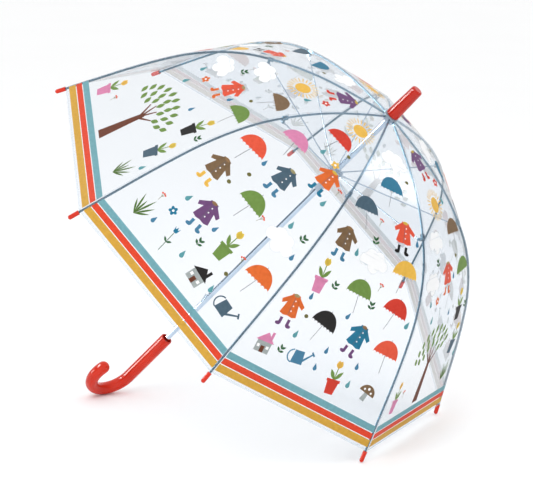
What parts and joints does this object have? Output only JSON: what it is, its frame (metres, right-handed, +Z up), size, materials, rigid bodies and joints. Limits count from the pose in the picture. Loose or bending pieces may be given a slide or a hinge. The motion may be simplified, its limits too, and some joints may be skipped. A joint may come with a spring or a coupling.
{
  "type": "children's umbrella",
  "caption": "Child's clear dome umbrella with a crook handle, wire ribs and stretchers; lies open on its handle and two rib tips and folds with a sliding runner.",
  "frame": {"origin": "middle of the footprint, on the ground that the crook and the two lowest rib tips touch", "axes": "+Z up, with the umbrella lying open; the shaft leans up along +X from the handle to the crown; +Y is the far side, where rib 1's tip rests"},
  "size_m": [0.5382, 0.664, 0.5274],
  "materials": {
    "red_plastic": "gloss",
    "chrome_tube": "polished",
    "steel_wire": "plain",
    "slate_rib": "satin",
    "slate_plastic": "satin",
    "clear_film": "clear flexible film",
    "clear_rosette": "clear flexible film"
  },
  "bodies": {
    "frame": {"shaft": "chrome_tube", "handle": "red_plastic", "ferrule": "red_plastic", "rosette": "clear_rosette", "crown_notch": "slate_plastic", "crown_ring": "steel_wire"},
    "runner": {"runner": "slate_plastic", "runner_ring": "steel_wire"},
    "top_catch": {"top_catch": "steel_wire"},
    "bottom_catch": {"bottom_catch": "steel_wire"},
    "upper_1": {"upper_rib_1": "slate_rib", "canopy_upper_1": "clear_film"},
    "lower_1": {"lower_rib_1": "slate_rib", "tip_cap_1": "red_plastic", "canopy_lower_1": "clear_film"},
    "stretcher_1": {"stretcher_1": "slate_rib"},
    "upper_2": {"upper_rib_2": "slate_rib", "canopy_upper_2": "clear_film"},
    "lower_2": {"lower_rib_2": "slate_rib", "tip_cap_2": "red_plastic", "canopy_lower_2": "clear_film"},
    "stretcher_2": {"stretcher_2": "slate_rib"},
    "upper_3": {"upper_rib_3": "slate_rib", "canopy_upper_3": "clear_film"},
    "lower_3": {"lower_rib_3": "slate_rib", "tip_cap_3": "red_plastic", "canopy_lower_3": "clear_film"},
    "stretcher_3": {"stretcher_3": "slate_rib"},
    "upper_4": {"upper_rib_4": "slate_rib", "canopy_upper_4": "clear_film"},
    "lower_4": {"lower_rib_4": "slate_rib", "tip_cap_4": "red_plastic", "canopy_lower_4": "clear_film"},
    "stretcher_4": {"stretcher_4": "slate_rib"},
    "upper_5": {"upper_rib_5": "slate_rib", "canopy_upper_5": "clear_film"},
    "lower_5": {"lower_rib_5": "slate_rib", "tip_cap_5": "red_plastic", "canopy_lower_5": "clear_film"},
    "stretcher_5": {"stretcher_5": "slate_rib"},
    "upper_6": {"upper_rib_6": "slate_rib", "canopy_upper_6": "clear_film"},
    "lower_6": {"lower_rib_6": "slate_rib", "tip_cap_6": "red_plastic", "canopy_lower_6": "clear_film"},
    "stretcher_6": {"stretcher_6": "slate_rib"},
    "upper_7": {"upper_rib_7": "slate_rib", "canopy_upper_7": "clear_film"},
    "lower_7": {"lower_rib_7": "slate_rib", "tip_cap_7": "red_plastic", "canopy_lower_7": "clear_film"},
    "stretcher_7": {"stretcher_7": "slate_rib"},
    "upper_8": {"upper_rib_8": "slate_rib", "canopy_upper_8": "clear_film"},
    "lower_8": {"lower_rib_8": "slate_rib", "tip_cap_8": "red_plastic", "canopy_lower_8": "clear_film"},
    "stretcher_8": {"stretcher_8": "slate_rib"}
  },
  "joints": [
    {"name": "runner_slide", "type": "slide", "parent": "frame", "child": "runner", "axis": [-0.6905, 0, -0.7233], "range_m": [0, 0.22966]},
    {"name": "crown_hinge_1", "type": "hinge", "parent": "frame", "child": "upper_1", "pos_m": [0.18064, 0.00306, 0.43811], "axis": [-0.2768, 0.9239, 0.2642], "range_deg": [0, 64.61], "deforming": ["canopy_upper_1"]},
    {"name": "rib_joint_1", "type": "hinge", "parent": "upper_1", "child": "lower_1", "pos_m": [0.25606, 0.06638, 0.29575], "axis": [0.2768, -0.9239, -0.2642], "range_deg": [0, 31.07], "deforming": ["canopy_lower_1"]},
    {"name": "stretcher_hinge_1", "type": "hinge", "parent": "upper_1", "child": "stretcher_1", "pos_m": [0.25052, 0.0653, 0.29372], "axis": [0.2768, -0.9239, -0.2642], "range_deg": [0, 129.21]},
    {"name": "crown_hinge_2", "type": "hinge", "parent": "frame", "child": "upper_2", "pos_m": [0.1775, 0.00739, 0.4411], "axis": [-0.6683, 0.3827, 0.6379], "range_deg": [0, 64.61], "deforming": ["canopy_upper_2"]},
    {"name": "rib_joint_2", "type": "hinge", "parent": "upper_2", "child": "lower_2", "pos_m": [0.18816, 0.16025, 0.36057], "axis": [0.6683, -0.3827, -0.6379], "range_deg": [0, 31.07], "deforming": ["canopy_lower_2"]},
    {"name": "stretcher_hinge_2", "type": "hinge", "parent": "upper_2", "child": "stretcher_2", "pos_m": [0.18372, 0.15765, 0.35748], "axis": [0.6683, -0.3827, -0.6379], "range_deg": [0, 129.21]},
    {"name": "crown_hinge_3", "type": "hinge", "parent": "frame", "child": "upper_3", "pos_m": [0.17308, 0.00739, 0.44533], "axis": [-0.6683, -0.3827, 0.6379], "range_deg": [0, 64.61], "deforming": ["canopy_upper_3"]},
    {"name": "rib_joint_3", "type": "hinge", "parent": "upper_3", "child": "lower_3", "pos_m": [0.09213, 0.16025, 0.45224], "axis": [0.6683, 0.3827, -0.6379], "range_deg": [0, 31.07], "deforming": ["canopy_lower_3"]},
    {"name": "stretcher_hinge_3", "type": "hinge", "parent": "upper_3", "child": "stretcher_3", "pos_m": [0.08926, 0.15765, 0.44766], "axis": [0.6683, 0.3827, -0.6379], "range_deg": [0, 129.21]},
    {"name": "crown_hinge_4", "type": "hinge", "parent": "frame", "child": "upper_4", "pos_m": [0.16994, 0.00306, 0.44832], "axis": [-0.2768, -0.9239, 0.2642], "range_deg": [0, 64.61], "deforming": ["canopy_upper_4"]},
    {"name": "rib_joint_4", "type": "hinge", "parent": "upper_4", "child": "lower_4", "pos_m": [0.02423, 0.06638, 0.51706], "axis": [0.2768, 0.9239, -0.2642], "range_deg": [0, 31.07], "deforming": ["canopy_lower_4"]},
    {"name": "stretcher_hinge_4", "type": "hinge", "parent": "upper_4", "child": "stretcher_4", "pos_m": [0.02246, 0.0653, 0.51143], "axis": [0.2768, 0.9239, -0.2642], "range_deg": [0, 129.21]},
    {"name": "crown_hinge_5", "type": "hinge", "parent": "frame", "child": "upper_5", "pos_m": [0.16994, -0.00306, 0.44832], "axis": [0.2768, -0.9239, -0.2642], "range_deg": [0, 64.61], "deforming": ["canopy_upper_5"]},
    {"name": "rib_joint_5", "type": "hinge", "parent": "upper_5", "child": "lower_5", "pos_m": [0.02423, -0.06638, 0.51706], "axis": [-0.2768, 0.9239, 0.2642], "range_deg": [0, 31.07], "deforming": ["canopy_lower_5"]},
    {"name": "stretcher_hinge_5", "type": "hinge", "parent": "upper_5", "child": "stretcher_5", "pos_m": [0.02246, -0.0653, 0.51143], "axis": [-0.2768, 0.9239, 0.2642], "range_deg": [0, 129.21]},
    {"name": "crown_hinge_6", "type": "hinge", "parent": "frame", "child": "upper_6", "pos_m": [0.17308, -0.00739, 0.44533], "axis": [0.6683, -0.3827, -0.6379], "range_deg": [0, 64.61], "deforming": ["canopy_upper_6"]},
    {"name": "rib_joint_6", "type": "hinge", "parent": "upper_6", "child": "lower_6", "pos_m": [0.09213, -0.16025, 0.45224], "axis": [-0.6683, 0.3827, 0.6379], "range_deg": [0, 31.07], "deforming": ["canopy_lower_6"]},
    {"name": "stretcher_hinge_6", "type": "hinge", "parent": "upper_6", "child": "stretcher_6", "pos_m": [0.08926, -0.15765, 0.44766], "axis": [-0.6683, 0.3827, 0.6379], "range_deg": [0, 129.21]},
    {"name": "crown_hinge_7", "type": "hinge", "parent": "frame", "child": "upper_7", "pos_m": [0.1775, -0.00739, 0.4411], "axis": [0.6683, 0.3827, -0.6379], "range_deg": [0, 64.61], "deforming": ["canopy_upper_7"]},
    {"name": "rib_joint_7", "type": "hinge", "parent": "upper_7", "child": "lower_7", "pos_m": [0.18816, -0.16025, 0.36057], "axis": [-0.6683, -0.3827, 0.6379], "range_deg": [0, 31.07], "deforming": ["canopy_lower_7"]},
    {"name": "stretcher_hinge_7", "type": "hinge", "parent": "upper_7", "child": "stretcher_7", "pos_m": [0.18372, -0.15765, 0.35748], "axis": [-0.6683, -0.3827, 0.6379], "range_deg": [0, 129.21]},
    {"name": "crown_hinge_8", "type": "hinge", "parent": "frame", "child": "upper_8", "pos_m": [0.18064, -0.00306, 0.43811], "axis": [0.2768, 0.9239, -0.2642], "range_deg": [0, 64.61], "deforming": ["canopy_upper_8"]},
    {"name": "rib_joint_8", "type": "hinge", "parent": "upper_8", "child": "lower_8", "pos_m": [0.25606, -0.06638, 0.29575], "axis": [-0.2768, -0.9239, 0.2642], "range_deg": [0, 31.07], "deforming": ["canopy_lower_8"]},
    {"name": "stretcher_hinge_8", "type": "hinge", "parent": "upper_8", "child": "stretcher_8", "pos_m": [0.25052, -0.0653, 0.29372], "axis": [-0.2768, -0.9239, 0.2642], "range_deg": [0, 129.21]},
    {"name": "top_catch_press", "type": "slide", "parent": "frame", "child": "top_catch", "axis": [0.7233, 0, -0.6905], "range_m": [0, 0.0025], "stiffness_N_per_m": 600},
    {"name": "bottom_catch_press", "type": "slide", "parent": "frame", "child": "bottom_catch", "axis": [0.7233, 0, -0.6905], "range_m": [0, 0.0025], "stiffness_N_per_m": 600}
  ],
  "couplings": [
    {"joint": "crown_hinge_1", "follows": "runner_slide", "rad_per_m": 4.9094},
    {"joint": "rib_joint_1", "follows": "runner_slide", "rad_per_m": 2.3601},
    {"joint": "stretcher_hinge_1", "follows": "runner_slide", "rad_per_m": 9.8188},
    {"joint": "crown_hinge_2", "follows": "runner_slide", "rad_per_m": 4.9094},
    {"joint": "rib_joint_2", "follows": "runner_slide", "rad_per_m": 2.3601},
    {"joint": "stretcher_hinge_2", "follows": "runner_slide", "rad_per_m": 9.8188},
    {"joint": "crown_hinge_3", "follows": "runner_slide", "rad_per_m": 4.9094},
    {"joint": "rib_joint_3", "follows": "runner_slide", "rad_per_m": 2.3601},
    {"joint": "stretcher_hinge_3", "follows": "runner_slide", "rad_per_m": 9.8188},
    {"joint": "crown_hinge_4", "follows": "runner_slide", "rad_per_m": 4.9094},
    {"joint": "rib_joint_4", "follows": "runner_slide", "rad_per_m": 2.3601},
    {"joint": "stretcher_hinge_4", "follows": "runner_slide", "rad_per_m": 9.8188},
    {"joint": "crown_hinge_5", "follows": "runner_slide", "rad_per_m": 4.9094},
    {"joint": "rib_joint_5", "follows": "runner_slide", "rad_per_m": 2.3601},
    {"joint": "stretcher_hinge_5", "follows": "runner_slide", "rad_per_m": 9.8188},
    {"joint": "crown_hinge_6", "follows": "runner_slide", "rad_per_m": 4.9094},
    {"joint": "rib_joint_6", "follows": "runner_slide", "rad_per_m": 2.3601},
    {"joint": "stretcher_hinge_6", "follows": "runner_slide", "rad_per_m": 9.8188},
    {"joint": "crown_hinge_7", "follows": "runner_slide", "rad_per_m": 4.9094},
    {"joint": "rib_joint_7", "follows": "runner_slide", "rad_per_m": 2.3601},
    {"joint": "stretcher_hinge_7", "follows": "runner_slide", "rad_per_m": 9.8188},
    {"joint": "crown_hinge_8", "follows": "runner_slide", "rad_per_m": 4.9094},
    {"joint": "rib_joint_8", "follows": "runner_slide", "rad_per_m": 2.3601},
    {"joint": "stretcher_hinge_8", "follows": "runner_slide", "rad_per_m": 9.8188}
  ]
}
